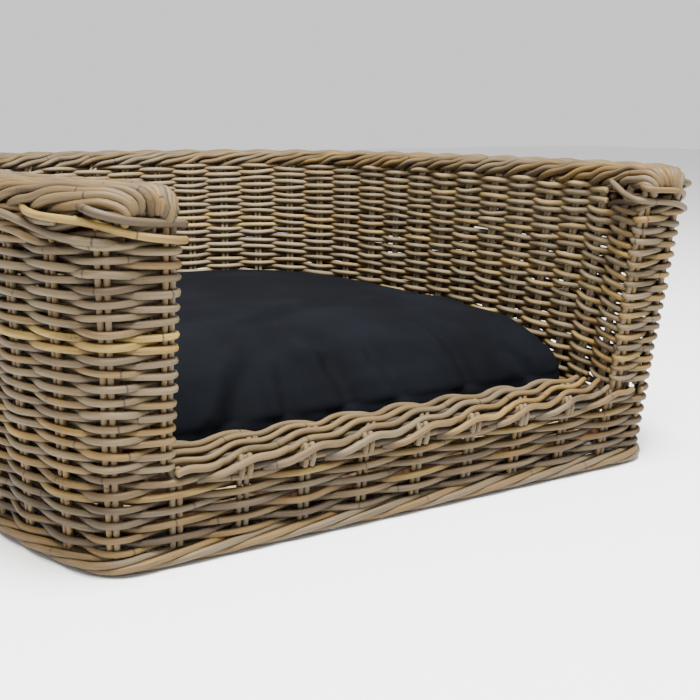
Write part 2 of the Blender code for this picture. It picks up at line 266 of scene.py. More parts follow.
def sectionAxes(points, up):
    tangent = unit(np.gradient(points, axis=0))
    if up is not None:
        side = unit(np.cross(tangent, np.broadcast_to(up, tangent.shape)))
        return side, np.cross(side, tangent)
    start = np.array([0.0, 0.0, 1.0]) if abs(tangent[0, 2]) < 0.9 else np.array([1.0, 0.0, 0.0])
    side = np.empty_like(tangent)
    side[0] = unit(np.cross(tangent[0], start))
    for i in range(1, len(points)):
        side[i] = unit(side[i - 1] - tangent[i] * np.dot(side[i - 1], tangent[i]))
    return side, np.cross(side, tangent)


def strandMesh(strand, sides):
    # rings of points with a rounded cut at both ends
    p, r = strand["points"], strand["radius"]
    side, over = sectionAxes(p, strand["up"])
    tangent = np.cross(over, side)
    ends = [(0, -1, 0.55), (0, -0.35, 0.93), (-1, 0.35, 0.93), (-1, 1, 0.55)]
    capped = [(p[i] + tangent[i] * cane["tip"] * push, r[i] * size) for i, push, size in ends]
    centres = np.vstack([capped[0][0], capped[1][0], p, capped[2][0], capped[3][0]])
    radii = np.concatenate([[capped[0][1], capped[1][1]], r, [capped[2][1], capped[3][1]]])
    side, over = (np.vstack([axis[0], axis[0], axis, axis[-1], axis[-1]]) for axis in (side, over))
    angle = np.arange(sides) * 2 * math.pi / sides
    ring = side[:, None] * np.cos(angle)[None, :, None] + over[:, None] * np.sin(angle)[None, :, None]
    verts = (centres[:, None] + ring * radii[:, None, None]).reshape(-1, 3)
    rings = len(centres)
    i, j = np.meshgrid(np.arange(rings - 1), np.arange(sides), indexing="ij")
    a = i * sides + j
    b = i * sides + (j + 1) % sides
    quads = np.stack([a, b, b + sides, a + sides], axis=-1).reshape(-1, 4)
    along = cumulative(centres)
    grain = np.stack([np.repeat(along, sides) + strand["seed"],
                      np.tile(np.cos(angle), rings) * np.repeat(radii, sides),
                      np.tile(np.sin(angle), rings) * np.repeat(radii, sides)], axis=1)
    cut = np.zeros(rings)
    cut[[0, 1, -2, -1]] = 1.0
    deep = np.pad(strand["deep"], 2, mode="edge")
    return verts, quads, grain, np.repeat(cut, sides), np.repeat(deep, sides), rings


def makeBundle(name, strands, sides, replaced, body="basket"):
    # many strands as one piece, with the attributes its material uses and a flat layout of its faces
    verts, quads, caps, grain, tone, cut, deep, cells = [], [], [], [], [], [], [], []
    offset, cell = 0, 0
    for strand in strands:
        v, q, g, c, d, rings = strandMesh(strand, sides)
        verts.append(v)
        quads.append(q + offset)
        caps.append(np.arange(sides)[::-1] + offset)
        caps.append(np.arange(sides) + offset + (rings - 1) * sides)
        grain.append(g)
        cut.append(c)
        deep.append(d)
        tone.append(np.full(len(v), strand["tone"]))
        cells.append(np.repeat(np.arange(rings - 1) + cell, sides))
        cell += rings - 1
        offset += len(v)
    verts, quads, cells = np.vstack(verts), np.vstack(quads), np.concatenate(cells)
    capIndex = np.concatenate(caps)
    mesh = bpy.data.meshes.new(name)
    corners = np.concatenate([quads.ravel(), capIndex])
    starts = np.concatenate([np.arange(len(quads)) * 4, len(quads) * 4 + np.arange(len(caps)) * sides])
    sizes = np.concatenate([np.full(len(quads), 4), np.full(len(caps), sides)])
    mesh.vertices.add(len(verts))
    mesh.vertices.foreach_set("co", verts.ravel().astype(np.float32))
    mesh.loops.add(len(corners))
    mesh.loops.foreach_set("vertex_index", corners.astype(np.int32))
    mesh.polygons.add(len(starts))
    mesh.polygons.foreach_set("loop_start", starts.astype(np.int32))
    mesh.polygons.foreach_set("loop_total", sizes.astype(np.int32))
    mesh.update(calc_edges=True)
    layers = {"grain": np.vstack(grain), "tone": np.concatenate(tone), "cut": np.concatenate(cut),
              "deep": np.concatenate(deep)}
    for label, values in layers.items():
        kind, field = ("FLOAT_VECTOR", "vector") if values.ndim == 2 else ("FLOAT", "value")
        made = mesh.attributes.new(label, kind, "POINT")
        made.data.foreach_set(field, values.ravel().astype(np.float32))
    layOutFlat(mesh, cells, cell, sides, len(quads), len(caps))
    mesh.shade_smooth()
    mesh.validate()
    piece = bpy.data.objects.new(name, mesh)
    bpy.context.scene.collection.objects.link(piece)
    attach(piece, body)
    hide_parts(*replaced)
    print(f"{name}: {len(strands)} strands, {len(quads)} faces")
    return piece


def layOutFlat(mesh, cells, cellCount, sides, quadCount, capCount):
    # strands lie side by side in rows of a square, each cell one step of a strand
    perRow = max(1, int(math.sqrt(cellCount * 2.6)))
    rows = cellCount // perRow + 2
    column, row = cells % perRow, cells // perRow
    j = np.tile(np.arange(sides), quadCount // sides)
    u0, u1 = column / perRow, (column + 1) / perRow
    low, high = (row + 0.04 + 0.92 * j / sides) / rows, (row + 0.04 + 0.92 * (j + 1) / sides) / rows
    quadUv = np.stack([u0, low, u0, high, u1, high, u1, low], axis=1).reshape(-1, 2)
    angle = np.arange(sides) * 2 * math.pi / sides
    disc = np.stack([np.cos(angle), np.sin(angle)], axis=1) * 0.3 / rows
    capColumn = (np.arange(capCount) + 0.5) / capCount
    capUv = np.stack([np.column_stack([c + disc[:, 0], (rows - 0.5) / rows + disc[:, 1]]) for c in capColumn])
    layer = mesh.uv_layers.new(name="OFBake")
    uv = np.vstack([quadUv, capUv.reshape(-1, 2)])
    layer.data.foreach_set("uv", uv.ravel().astype(np.float32))


# ---------- woven skins ----------
def wobble(count, total, size):
    # a smooth random drift with a fresh value about every half stake
    knots = random.normal(0.0, size, 2 * total)
    places = np.arange(2 * total + 1)
    values = np.interp(np.asarray(count) * 2, places, np.append(knots, knots[0]), period=2 * total)
    kernel = np.array([1, 2, 3, 2, 1]) / 9
    return np.convolve(np.pad(values, 2, mode="edge"), kernel, "valid")


def rodRadius(length, steps, radius):
    # a rod's own thickness, with a slight swelling at each joint of the cane
    along = np.linspace(0.0, length, steps)
    thick = radius * random.uniform(*cane["thickness"])
    joint = random.uniform(0.0, 0.2)
    swelling = np.zeros(steps)
    while joint < length:
        swelling += cane["swelling"] * np.exp(-((along - joint) / cane["swellingLength"]) ** 2)
        joint += random.uniform(*cane["jointGap"])
    return thick * (1 + swelling)


def weaverTone(row, count):
    # most weavers are greyed tan; a few rows are fresh and yellow
    inner = stakePairs["outerArc"] + 2
    if row in weave["yellowRows"] and inner < count < inner + stakePairs["innerArc"]:
        return random.uniform(0.95, 1.0)
    if row in weave["fairRows"]:
        return random.uniform(0.80, 0.92)
    return random.uniform(0.0, 1.0) ** 1.25 * 0.9


def runs(mask):
    # the unbroken stretches of a mask, as slices
    edges = np.flatnonzero(np.diff(np.concatenate([[0], mask.astype(int), [0]])))
    return [slice(a, b) for a, b in zip(edges[::2], edges[1::2])]


def weaverEnds(total, row):
    # the stake counts where one weaver of a row stops and the next one starts
    k = int(random.integers(0, total))
    k += (k + row + 1) % 2
    start = k
    ends = []
    while k < start + total:
        ends.append(k)
        k += 2 * int(random.integers(weave["strandPairs"][0] // 2, weave["strandPairs"][1] // 2))
    ends.append(start + total)
    if ends[-1] - ends[-2] < 4 and len(ends) > 2:
        ends.pop(-2)
    return ends


def onBedSide(count, total):
    # 0 on the outer skin, 1 on the inner one, between them round the arms' ends
    n, m = stakePairs["outerArc"], stakePairs["innerArc"]
    if total <= n + m:
        return np.zeros(len(count))
    return np.interp(np.mod(count, total), [n + 1.2, n + 3.5, n + m + 0.5, n + m + 2.8], [0, 1, 1, 0])


def towardsEnds(fromStart, fromEnd, over, power=1.0):
    # 1 at both ends of a rod, fading to 0 over a length
    return np.clip(1 - fromStart / over, 0, 1) ** power + np.clip(1 - fromEnd / over, 0, 1) ** power


def weaveRow(course, row, z, leaveOut=()):
    # one round of weaving, broken into separate weavers that meet behind a stake
    total, strands = course["total"], []
    lap = weave["lap"]
    ends = weaverEnds(total, row)
    places = np.arange(total + 1)
    drift = weave["drift"] * np.sin(places * 2 * math.pi * 3 / total + row * 0.05)
    share = min(max((z - wall["sillBase"]) / (wall["rimBase"] - wall["sillBase"]), 0.0), 1.0)
    for a, b in zip(ends, ends[1:]):
        count = np.linspace(a - lap, b + lap, int((b - a + 2 * lap) * weave["stepsPerPair"]) + 1)
        swing = weave["swing"] * (1 + wobble(count, total, weave["unevenSwing"]))
        inOut = np.cos(math.pi * (count + row))
        bedSide = onBedSide(count, total)
        # painted shade: a weaver is darker where it passes behind a stake, a little less on the bed side;
        # painted light: it is paler on the bed side
        deep = (0.5 - 0.5 * inOut) ** 1.5 * (1 - 0.3 * bedSide) - weave["paintedLightInside"] * bedSide
        tuck = weave["endTuck"] * towardsEnds(count - a + lap, b + lap - count, weave["endTuckOver"])
        height = z + wobble(count, total, weave["unevenHeight"])
        height = height + np.interp(count, places, drift, period=total)
        height = height + weave["sweep"] * bedSide * math.sin(math.pi * share)
        points, _ = onCourse(course, count, wall["skin"] / 2 - swing * inOut + tuck, height)
        radius = rodRadius(cumulative(points)[-1], len(points), weave["radius"])
        tone = weaverTone(row, a % total)
        keep = np.ones(len(count), bool)
        for low, high in leaveOut:
            keep &= ~((np.mod(count - low, total) < high - low))
        for part in runs(keep):
            if part.stop - part.start > weave["fewestPoints"]:
                strands.append(newStrand(points[part], radius[part], tone, up=(0, 0, 1), deep=deep[part]))
    return strands


def rowHeight(row):
    low = min(row, weave["lowRows"])
    return weave["firstRow"] + weave["lowPitch"] * low + weave["pitch"] * (row - low)


def rowsBetween(low, high):
    margin = weave["radius"]
    return [i for i in range(80) if low + margin * 0.6 <= rowHeight(i) <= high - margin * 0.5]


def stakePair(courses, count, low, high, lean, tuck, deep=-0.05):
    # two rods side by side, following the leaning skin from low to high
    strands = []
    heights = np.linspace(low, high, stakePairs["steps"])
    share = np.clip((heights - high + stakePairs["bend"]) / stakePairs["bend"], 0, 1) ** 2
    depth = wall["skin"] / 2 - stakePairs["forward"]
    for side in (-1, 1):
        drift = random.normal(0.0, 0.0004)
        points = []
        for z, top in zip(heights, share):
            place, normal = onCourse(courses(z), [count], [depth + tuck * top], z)
            tangent = np.array([normal[0, 1], -normal[0, 0], 0.0])
            sideways = side * stakePairs["half"] + drift * math.sin(z * 40) - lean * top
            points.append(place[0] + tangent * sideways)
        radius = rodRadius(high - low, len(points), stakePairs["radius"])
        # painted light: by default a stake gets a touch of the paler colour
        strands.append(newStrand(points, radius, random.uniform(0.1, 0.85), deep=deep))
    return strands


def cachedCourse(make):
    made = {}

    def at(z):
        key = round(float(z), 3)
        if key not in made:
            made[key] = make(key)
        return made[key]
    return at


armAt = cachedCourse(armCourse)
lowOuterAt = cachedCourse(lowOuterCourse)
lowInnerAt = cachedCourse(lowInnerCourse)

outerNodes = ("outer_weave_left", "outer_weave_back", "outer_weave_right")
innerNodes = ("inner_weave_left", "inner_weave_back", "inner_weave_right")
armNodes = ("arm_end_left_outer", "arm_end_left_inner", "arm_end_right_outer", "arm_end_right_inner")


def makeWeave():
    made = []
    outerRows, innerRows = [], []
    low = rowsBetween(wall["footTop"], wall["sillBase"])
    for row in low:
        outerRows += weaveRow(lowOuterAt(rowHeight(row)), row, rowHeight(row))
    for row in rowsBetween(wall["deckTop"], wall["sillBase"]):
        innerRows += weaveRow(lowInnerAt(rowHeight(row)), row, rowHeight(row))
    made.append(makeBundle("outer_weavers_low", outerRows, weave["sides"],
                           ("sill_outer_weave",) + outerNodes))
    made.append(makeBundle("inner_weavers_low", innerRows, weave["sides"],
                           ("sill_inner_weave",) + innerNodes))
    tall = [row for row in rowsBetween(wall["sillBase"] - 0.004, wall["rimBase"]) if row not in low]
    n, m = stakePairs["outerArc"], stakePairs["innerArc"]
    # the sill's border runs on under the right arm, and crossed rods take over at the arms' tops
    underArm = ((n + 0.25, n + 2.6),)
    armTops = tuple((k - crossed["before"], k + crossed["before"]) for k in (n + 1, n + 3 + m))
    for name, part in zip(("lower", "middle", "upper"), np.array_split(tall, 3)):
        rows = []
        for row in part:
            gap = underArm if rowHeight(row) < wall["sillTop"] - 0.002 else ()
            gap = armTops if rowHeight(row) > wall["rimBase"] - crossed["drop"] + crossed["overlap"] else gap
            rows += weaveRow(armAt(rowHeight(row)), int(row), rowHeight(row), gap)
        made.append(makeBundle(f"wall_weavers_{name}", rows, weave["sides"],
                               outerNodes + innerNodes + armNodes))
    return made


def makeStakes():
    n, m = stakePairs["outerArc"], stakePairs["innerArc"]
    bottom, top = wall["footTop"] - stakePairs["intoFoot"], wall["rimBase"] + stakePairs["intoRim"]
    lean, tuck = stakePairs["lean"], stakePairs["tuck"]
    outer, inner, sill = [], [], []
    for k in range(n + 1):
        outer += stakePair(outerStakeCourse, k, bottom, top, lean, tuck)
    for k in range(n + 2, n + 3 + m):
        # painted light: the inner stakes are made paler, like the weavers on the bed side
        inner += stakePair(armAt, k, wall["deckTop"] + 0.001, top, lean, tuck, deep=-0.40)
    for k in (n + 1, n + 3 + m):
        outer += stakePair(armAt, k, wall["sillTop"] - 0.010, top - 0.004, 0.004, tuck)
    for k in range(n + 1, n + stakePairs["sill"]):
        sill += stakePair(lowOuterAt, k, bottom, wall["sillBase"] + 0.006, 0.0, 0.003)
    return [makeBundle("outer_stakes", outer, 8, outerNodes),
            makeBundle("inner_stakes", inner, 8, innerNodes),
            makeBundle("sill_stakes", sill, 8, ("sill_outer_weave",))]


def outerStakeCourse(z):
    return lowOuterAt(z) if z < wall["sillBase"] else armAt(z)


# ---------- rim border ----------
# the rods wound round the arms' ends under the rim
crossed = {
    "radius": 0.0037,
    "drop": 0.034,              # height that the set of rods takes up
    "reach": 3.4,               # length of a rod, in stake pairs
    "front": 0.0010,            # depth of the falling rods and of the rising ones
    "behind": 0.0085,
    "each": 6,                  # falling rods on an arm, and as many rising ones
    "before": 1.7,              # where the first rod starts, in stake pairs from the arm's middle
    "spacing": 1.2,
    "uneven": 0.25,
    "risingShift": 0.7,
    "intoRim": 0.003,
    "overlap": 0.006,
    "ripple": 0.0022,
    "tuck": 0.011,
    "tuckShare": 0.13,          # share of a rod's length over which it tucks in at each end
    "steps": 44,
}

rim = {
    "radius": 0.0040,
    "span": 0.420,              # how far along the wall a rod travels while it crosses the top
    "spacing": 0.0370,
    "edge": 0.021,              # rounding of the crown
    "proud": 0.001,
    "dive": 0.007,              # how far a rod ducks under its neighbours at both ends
    "overrun": 0.019,           # how far it runs on down an arm's end
    "steps": 84,
    "hump": 0.0024,             # a rod rises over each stake that it passes
    "endRound": 0.043,          # rounding of the plan at an arm's end
    "endNarrowest": 0.86,
    "slant": 1.06,              # from face to face, a little over the whole width
    "ripple": 0.022,
    "uneven": 0.035,
    "diveShare": 0.08,
    "endDive": 0.004,
    "endDiveOver": 0.012,
    "under": {"rods": 8, "widest": 0.95, "depth": 0.0130, "radius": 0.0040, "past": 0.020, "steps": 300},
}


def evenly(points, count):
    along = cumulative(points)
    where = np.linspace(0.0, along[-1], count)
    return np.column_stack([np.interp(where, along, points[:, c]) for c in range(points.shape[1])])


def wallTop():
    outer = leaned(evenly(outerArc(), fine), wall["rimBase"])[:, :2]
    inner = leaned(evenly(innerArc(wall["rimBase"]), fine), wall["rimBase"])[:, :2]
    middle, across = (outer + inner) / 2, (outer - inner) / 2
    return {"middle": middle, "across": unit(across), "half": np.linalg.norm(across, axis=1),
            "along": cumulative(middle)}


def overEdge(distance, reach, edge, depth):
    # a section that is flat, then rounded, then upright: how far out and how far down
    size = np.abs(distance)
    turn = np.clip((size - (reach - edge)) / edge, 0, math.pi / 2)
    beyond = np.maximum(size - (reach - edge) - edge * math.pi / 2, 0)
    out = np.minimum(size, reach - edge) + (edge - depth) * np.sin(turn)
    down = edge - (edge - depth) * np.cos(turn) + beyond
    return np.sign(distance) * out, down


def rimPoint(top, s, u, depth):
    # s runs along the wall, u from the inner face (-1) over the crown to the outer face (1)
    length = top["along"][-1]
    edge = rim["edge"]
    s = np.asarray(s, float)
    centred, downAlong = overEdge(s - length / 2, length / 2 + rim["proud"], edge, depth)
    place = np.clip(centred + length / 2, 0, length)
    middle = np.column_stack([np.interp(place, top["along"], top["middle"][:, c]) for c in range(2)])
    across = unit(np.column_stack([np.interp(place, top["along"], top["across"][:, c]) for c in range(2)]))
    half = np.interp(place, top["along"], top["half"]) + rim["proud"]
    toEnd = np.clip(1 - np.minimum(place, length - place) / rim["endRound"], 0, rim["endNarrowest"])
    half = half * np.sqrt(1 - toEnd ** 2)
    perimeter = half - edge + edge * math.pi / 2
    out, downAcross = overEdge(u * perimeter, half, edge, depth)
    z = wall["height"] - downAlong - downAcross + depth
    pushed = np.zeros_like(middle)
    pushed[:, 1] = -np.maximum(np.abs(centred) - length / 2, 0)
    return np.column_stack([middle + pushed + across * out[:, None], z])


def crossedRods():
    # thick rods wound round each arm's end under the border, one set falling and one rising
    n, m = stakePairs["outerArc"], stakePairs["innerArc"]
    t = np.linspace(0, 1, crossed["steps"])
    tuck = towardsEnds(t, 1 - t, crossed["tuckShare"], 1.3)
    # a falling rod lies in front; seen along the stakes' count it rises
    kinds = ((t, crossed["front"], 0.0, 0.0), (1 - t, crossed["behind"], crossed["risingShift"], 0.35))
    strands = []
    for middle, back in ((n + 1, -1), (n + 3 + m, 1)):
        for i in range(crossed["each"]):
            for rise, lies, shift, shade in kinds:
                first = middle - crossed["before"] + back * i * crossed["spacing"]
                first = first + random.uniform(-crossed["uneven"], crossed["uneven"]) + shift
                count = first + crossed["reach"] * t
                z = wall["rimBase"] + crossed["intoRim"] - crossed["drop"] * (1 - rise)
                z = z + crossed["ripple"] * np.sin(math.pi * count + i)
                depth = lies + crossed["tuck"] * tuck - crossed["ripple"] * np.cos(math.pi * (count + i))
                points = np.vstack([onCourse(armAt(height), [c], [d], height)[0]
                                    for c, d, height in zip(count, depth, z)])
                radius = rodRadius(0.2, crossed["steps"], crossed["radius"])
                tone = random.uniform(0.05, 0.95)
                # painted shade: a rod is darker where it tucks in at its ends, and a rising rod, which lies
                # behind, by 0.35 more all along
                strands.append(newStrand(points, radius, tone, (0, 0, 1), np.clip(tuck + shade, 0, 1)))
    return strands


def makeRimBorder():
    top = wallTop()
    length = top["along"][-1]
    strands = crossedRods()
    t = np.linspace(0, 1, rim["steps"])
    for start in np.arange(-rim["span"] + 0.02, length - 0.02, rim["spacing"]):
        s = start + random.normal(0, 0.002) + rim["span"] * t
        stake = s / length * stakePairs["outerArc"]
        u = rim["slant"] * (2 * t - 1) + rim["ripple"] * np.sin(2 * math.pi * stake)
        u = u + wobble(t * 9, 9, rim["uneven"])
        dive = rim["dive"] * towardsEnds(t, 1 - t, rim["diveShare"], 1.5)
        keep = (s > -rim["overrun"]) & (s < length + rim["overrun"])
        if keep.sum() < 6:
            continue
        toCut = towardsEnds(s + rim["overrun"], length + rim["overrun"] - s, rim["endDiveOver"])
        endDive = rim["endDive"] * toCut
        radius = rodRadius(rim["span"] * 1.1, len(t), rim["radius"])
        depth = radius + dive + endDive + rim["hump"] * (1 - np.cos(2 * math.pi * stake)) / 2
        points = rimPoint(top, s, u, depth)[keep]
        # painted shade: the lower a rod lies under the crown's top, where it dives at its ends and between
        # stakes, the darker it is made
        deep = np.clip((depth - radius) / 0.009, 0, 1) ** 1.5
        strands.append(newStrand(points, radius[keep], random.uniform(0.05, 0.9), deep=deep[keep]))
    under = rim["under"]
    for u in np.linspace(-under["widest"], under["widest"], under["rods"]):
        s = np.linspace(-under["past"], length + under["past"], under["steps"])
        points = rimPoint(top, s, np.full(len(s), u), np.full(len(s), under["depth"]))
        # painted shade: the rods under the crown are made fully dark
        strands.append(newStrand(points, under["radius"], random.uniform(0.05, 0.4), up=(0, 0, 1), deep=1.0))
    return makeBundle("rim_border_rods", strands, 10, ("rim_border",))


# ---------- sill border ----------
sillBorder = {
    "radius": 0.0035,
    "levels": 5.5,              # stake spacings that a rod takes from the front to the back
    "hump": 0.0017,
    "pastArm": 0.040,           # how far its front rods run on under the right arm
    "steps": 12,                # points for each stake spacing
    "from": 0.30,               # where a rod comes up beside its stake, in stake spacings
    "rodPerStake": 0.062,       # length of rod for each stake spacing
    "width": 0.086,             # of the border, over its crown
    "wave": (0.06, 0.16),       # least and greatest wave of a rod over the stakes
    "uneven": 0.045,
    "shift": 0.05,
    "diveIn": 0.007,
    "diveOut": 0.006,
    "diveShare": 0.07,
    "under": {"rods": 7, "first": 0.014, "last": 0.090, "depth": 0.0100, "radius": 0.0035, "steps": 120},
    "knuckleHalf": 0.0036,      # half the distance between the two stakes of a pair
    "knuckleBack": (0.020, 0.026),      # the second pair's offset sideways and to the back
    "knuckleMargin": 0.014,
}


def sillProfile(p, depth):
    # p runs from the foot of the border's front face, over its crown, to its back; in metres
    y = np.array([-0.002, -0.003, 0.005, 0.032, 0.054, 0.070, 0.078])
    z = np.array([-0.010, 0.002, 0.010, 0.0160, 0.017, 0.012, 0.000])
    along = cumulative(np.column_stack([y, z]))
    step = 0.001
    dy, dz = (np.interp(p + step, along, c) - np.interp(p - step, along, c) for c in (y, z))
    size = np.maximum(np.hypot(dy, dz), 1e-9)
    return np.interp(p, along, y) + dz / size * depth, np.interp(p, along, z) - dy / size * depth


def sillPlace(x, y, z):
    # a point at x, y behind the front line and z above the border's underside, on the leaning sill
    at = leaned(np.column_stack([np.zeros_like(x), wall["frontY"] + y]), wall["sillBase"])
    return np.column_stack([x, at[:, 1], wall["sillBase"] + z])


def knuckle(x, back):
    # the turned-over end of a stake, peeping out between the border's rods
    turn = np.linspace(0.0, 1.0, 9)
    y = back + 0.0045 - 0.0030 * np.sin(turn * math.pi * 0.8) + 0.006 * turn ** 3
    z = -0.012 + 0.019 * turn + back * 0.24
    lean = 0.0030 * turn ** 2 + random.normal(0, 0.0006)
    radius = 0.0031 + random.uniform(0, 0.0003)
    return newStrand(sillPlace(x + lean, y, z), radius, random.uniform(0.1, 0.6))


def makeSillBorder():
    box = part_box("sill_border")
    left, right = box[0].x - 0.006, box[1].x - 0.002
    course = lowOuterAt(wall["sillBase"])
    count = np.arange(stakePairs["outerArc"], course["total"] + 1)
    stakesX = np.sort(onCourse(course, count, wall["skin"] / 2, wall["sillBase"])[0][:, 0])
    gap = stakesX[5] - stakesX[4]
    lastStake = len(stakesX) - 1
    strands = []
    levels, share = sillBorder["levels"], sillBorder["diveShare"]
    for first in range(-5, len(stakesX)):
        start = first + sillBorder["from"]
        k = np.linspace(start, start + levels + 0.05, int(levels * sillBorder["steps"]))
        x = np.interp(k, np.arange(lastStake + 1), stakesX)
        x = x + (np.minimum(k, 0) + np.maximum(k - lastStake, 0)) * gap
        climb = (k - start) / (levels + 0.05)
        step = climb * levels
        shift = random.normal(0.0, sillBorder["shift"])
        step = step - random.uniform(*sillBorder["wave"]) * np.sin(2 * math.pi * (step + 0.02 + shift))
        step = step + wobble(climb * 6, 6, sillBorder["uneven"])
        radius = rodRadius(levels * sillBorder["rodPerStake"], len(k), sillBorder["radius"])
        hump = sillBorder["hump"] * np.cos(2 * math.pi * (k - 0.12 + shift))
        dive = sillBorder["diveOut"] * np.clip((climb - 1 + share) / share, 0, 1)
        dive = dive + sillBorder["diveIn"] * np.clip(1 - climb / share, 0, 1)
        rising = 0.002 * (climb < 0.25)
        y, z = sillProfile(0.002 + sillBorder["width"] * step / levels, radius + dive - rising)
        z = z + hump * np.clip(climb * 6, 0, 1)
        end = right + sillBorder["pastArm"] * (1 - np.clip(y / 0.04, 0, 1)) ** 0.7
        keep = (x > left) & (x < end)
        if keep.sum() < 8:
            continue
        points = sillPlace(x, y, z)[keep]
        # painted shade: a rod is darker where it dives in at its ends
        deep = np.clip(dive / sillBorder["diveOut"], 0, 1)[keep] ** 1.5
        strands.append(newStrand(points, radius[keep], random.uniform(0.2, 0.9), (0, 0, 1), deep))
    under = sillBorder["under"]
    for p in np.linspace(under["first"], under["last"], under["rods"]):
        x = np.linspace(left, right, under["steps"])
        y, z = sillProfile(p, under["depth"])
        points = sillPlace(x, np.full(len(x), y), np.full(len(x), z))
        points[:, 2] += 0.0008 * np.sin(x * 100 + p * 900)
        # painted shade: the rods under the border are made fully dark
        strands.append(newStrand(points, under["radius"], random.uniform(0.05, 0.5), (0, 0, 1), deep=1.0))
    margin = sillBorder["knuckleMargin"]
    sideways, back = sillBorder["knuckleBack"]
    for stake in stakesX:
        if not box[0].x + margin < stake < box[1].x - margin:
            continue
        for side in (-sillBorder["knuckleHalf"], sillBorder["knuckleHalf"]):
            strands.append(knuckle(stake + side, 0.0))
            strands.append(knuckle(stake + side + sideways, back))
    return makeBundle("sill_border_rods", strands, 10, ("sill_border",))


# ---------- foot border ----------
foot = {
    "radius": 0.0038,
    "strands": 5,
    "turn": 0.30,               # length of one turn of the twist
    "up": 0.0054,
    "inOut": 0.0078,
    "middle": 0.0065,           # depth of the twist's middle under the outer face
    "height": 0.0096,
}


def makeFootBorder():
    course = lowOuterAt(foot["height"])
    total = course["total"]
    count = np.linspace(0, total, total * 10 + 1)
    flat, _ = onCourse(course, count, np.zeros(len(count)), foot["height"])
    along = cumulative(flat)
    turns = round(along[-1] / foot["turn"])
    strands = []
    for number in range(foot["strands"]):
        angle = 2 * math.pi * (turns * along / along[-1] + number / foot["strands"])
        # a strand ends, and the next one starts, where it is at the back
        hidden = np.flatnonzero(np.diff(np.floor(angle / (2 * math.pi))))
        cuts = [0] + [hidden[j] for j in range(2, len(hidden) - 2, 4 + number % 2)] + [len(angle) - 1]
        for a, b in zip(cuts, cuts[1:]):
            part = slice(a, b + 1)
            points, _ = onCourse(course, count[part], foot["middle"] + foot["inOut"] * np.cos(angle[part]),
                                 foot["height"] + foot["up"] * np.sin(angle[part]))
            points[:, 2] = np.maximum(points[:, 2], foot["radius"] * 1.13)
            radius = rodRadius(cumulative(points)[-1], len(points), foot["radius"] - 0.0002)
            strands.append(newStrand(points, radius, random.uniform(0.1, 0.85), up=(0, 0, 1)))
    return makeBundle("foot_border_rods", strands, 10, ("foot_border",))


# ---------- materials ----------
class Wire:
    # a shader socket that plain arithmetic works on
    def __init__(self, tree, socket=None):
        self.tree = tree
        self.socket = socket

    def node(self, kind, settings=None, inputs=None, out=0):
        made = self.tree.nodes.new(kind)
        for label, value in (settings or {}).items():
            if label == "stops":
                ramp = made.color_ramp
                while len(ramp.elements) < len(value):
                    ramp.elements.new(0.5)
                for stop, (place, colour) in zip(ramp.elements, value):
                    stop.position = place
                    stop.color = (*colour, 1.0)
            else:
                setattr(made, label, value)
        for label, value in (inputs or {}).items():
            if isinstance(value, Wire):
                self.tree.links.new(value.socket, made.inputs[label])
            else:
                made.inputs[label].default_value = value
        return Wire(self.tree, made.outputs[out]) if len(made.outputs) else None

    def maths(self, operation, a, b=None):
        inputs = {0: a} if b is None else {0: a, 1: b}
        return self.node("ShaderNodeMath", {"operation": operation}, inputs)

    def mix(self, factor, a, b, blend="MIX"):
        settings = {"data_type": "RGBA", "blend_type": blend}
        return self.node("ShaderNodeMix", settings, {0: factor, 6: a, 7: b}, out=2)

    def stretched(self, size):
        return self.node("ShaderNodeVectorMath", {"operation": "MULTIPLY"}, {0: self, 1: size})

    def noise(self, scale, detail=2.0, roughness=0.5):
        return self.node("ShaderNodeTexNoise", None,
                         {"Vector": self, "Scale": scale, "Detail": detail, "Roughness": roughness})

    def between(self, low, high):
        # 0 below low, 1 above high, smooth in between
        return self.node("ShaderNodeMapRange", {"interpolation_type": "SMOOTHSTEP"},
                         {"Value": self, "From Min": low, "From Max": high})

    def __add__(self, other):
        return self.maths("ADD", self, other)

    def __sub__(self, other):
        return self.maths("SUBTRACT", self, other)

    def __rsub__(self, other):
        return self.maths("SUBTRACT", other, self)

    def __mul__(self, other):
        return self.maths("MULTIPLY", self, other)

    def __truediv__(self, other):
        return self.maths("DIVIDE", self, other)

    __radd__ = __add__
    __rmul__ = __mul__


def newMaterial(name):
    made = bpy.data.materials.new(name)
    made.use_nodes = True
    tree = made.node_tree
    tree.nodes.clear()
    return made, Wire(tree)


def finishMaterial(wire, settings):
    shader = wire.node("ShaderNodeBsdfPrincipled", None, settings)
    wire.node("ShaderNodeOutputMaterial", None, {"Surface": shader})


def srgb(*parts):
    return tuple((p / 255 / 12.92) if p <= 10 else ((p / 255 + 0.055) / 1.055) ** 2.4 for p in parts)


def opaque(colour):
    return (*colour, 1.0)


rattan = {
    "palette": [(0.00, srgb(92, 76, 56)), (0.16, srgb(124, 110, 90)), (0.34, srgb(134, 120, 98)),
                (0.48, srgb(116, 96, 68)), (0.62, srgb(138, 116, 82)), (0.76, srgb(130, 104, 66)),
                (0.88, srgb(154, 126, 72)), (1.00, srgb(182, 156, 88))],
    "bark": srgb(74, 62, 48),
    # dark colour of the dirt in the cane's joints and specks, and also of the painted shade deep in the weave
    "dirtAndShade": srgb(30, 22, 14),
    # painted light: the paler colour that the bed side and the stakes are lightened towards
    "pale": srgb(196, 184, 165),
    "cut": srgb(160, 136, 98),
    "tint": (0.56, 0.525, 0.425),
    "jointEvery": 0.23,         # metres between the joints of the cane
}


